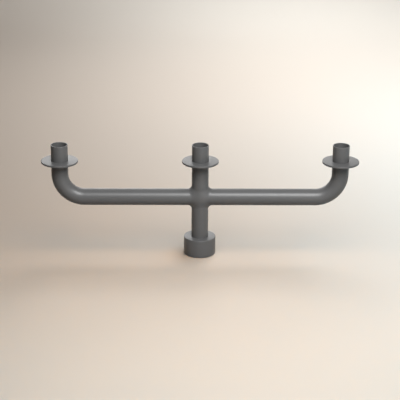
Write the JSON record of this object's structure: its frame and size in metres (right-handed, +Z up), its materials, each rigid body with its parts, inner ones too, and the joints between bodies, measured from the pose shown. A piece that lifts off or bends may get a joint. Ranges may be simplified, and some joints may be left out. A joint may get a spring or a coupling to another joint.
{
  "type": "tabletop candelabra",
  "caption": "Low, wide candelabra of round tube: a crossbar with upturned ends through a short stem, each end with a flat drip plate and an open candle cup, on a small round foot.",
  "frame": {"origin": "middle of the underside of the foot pad, on the surface the candelabra stands on", "axes": "+Z up along the stem, +X along the crossbar to the right, +Y to the back"},
  "size_m": [0.4704, 0.0544, 0.1715],
  "materials": {
    "frame_coat": "fine matt charcoal powder coat on steel tube",
    "foot_coat": "fine matt charcoal powder coat on turned steel",
    "plate_coat": "fine matt charcoal powder coat on steel plate",
    "cup_coat": "fine matt charcoal powder coat on a thin turned steel cup",
    "black_screw": "black oxide on steel",
    "plug_steel": "bare turned steel",
    "zinc_steel": "bright zinc plate on steel",
    "pad_rubber": "matt black closed-cell rubber"
  },
  "bodies": {
    "root": {"stem_tube": "frame_coat", "arm_tube_left": "frame_coat", "arm_tube_right": "frame_coat", "weld_left": "frame_coat", "weld_right": "frame_coat", "foot": "foot_coat", "drip_plate_left": "plate_coat", "drip_plate_centre": "plate_coat", "drip_plate_right": "plate_coat", "candle_cup_left": "cup_coat", "candle_cup_centre": "cup_coat", "candle_cup_right": "cup_coat", "cup_screw_left": "black_screw", "cup_screw_centre": "black_screw", "cup_screw_right": "black_screw", "end_plug_left": "plug_steel", "end_plug_centre": "plug_steel", "end_plug_right": "plug_steel", "base_plug": "plug_steel", "foot_bolt": "zinc_steel", "foot_washer": "zinc_steel", "foot_pad": "pad_rubber"}
  },
  "joints": []
}
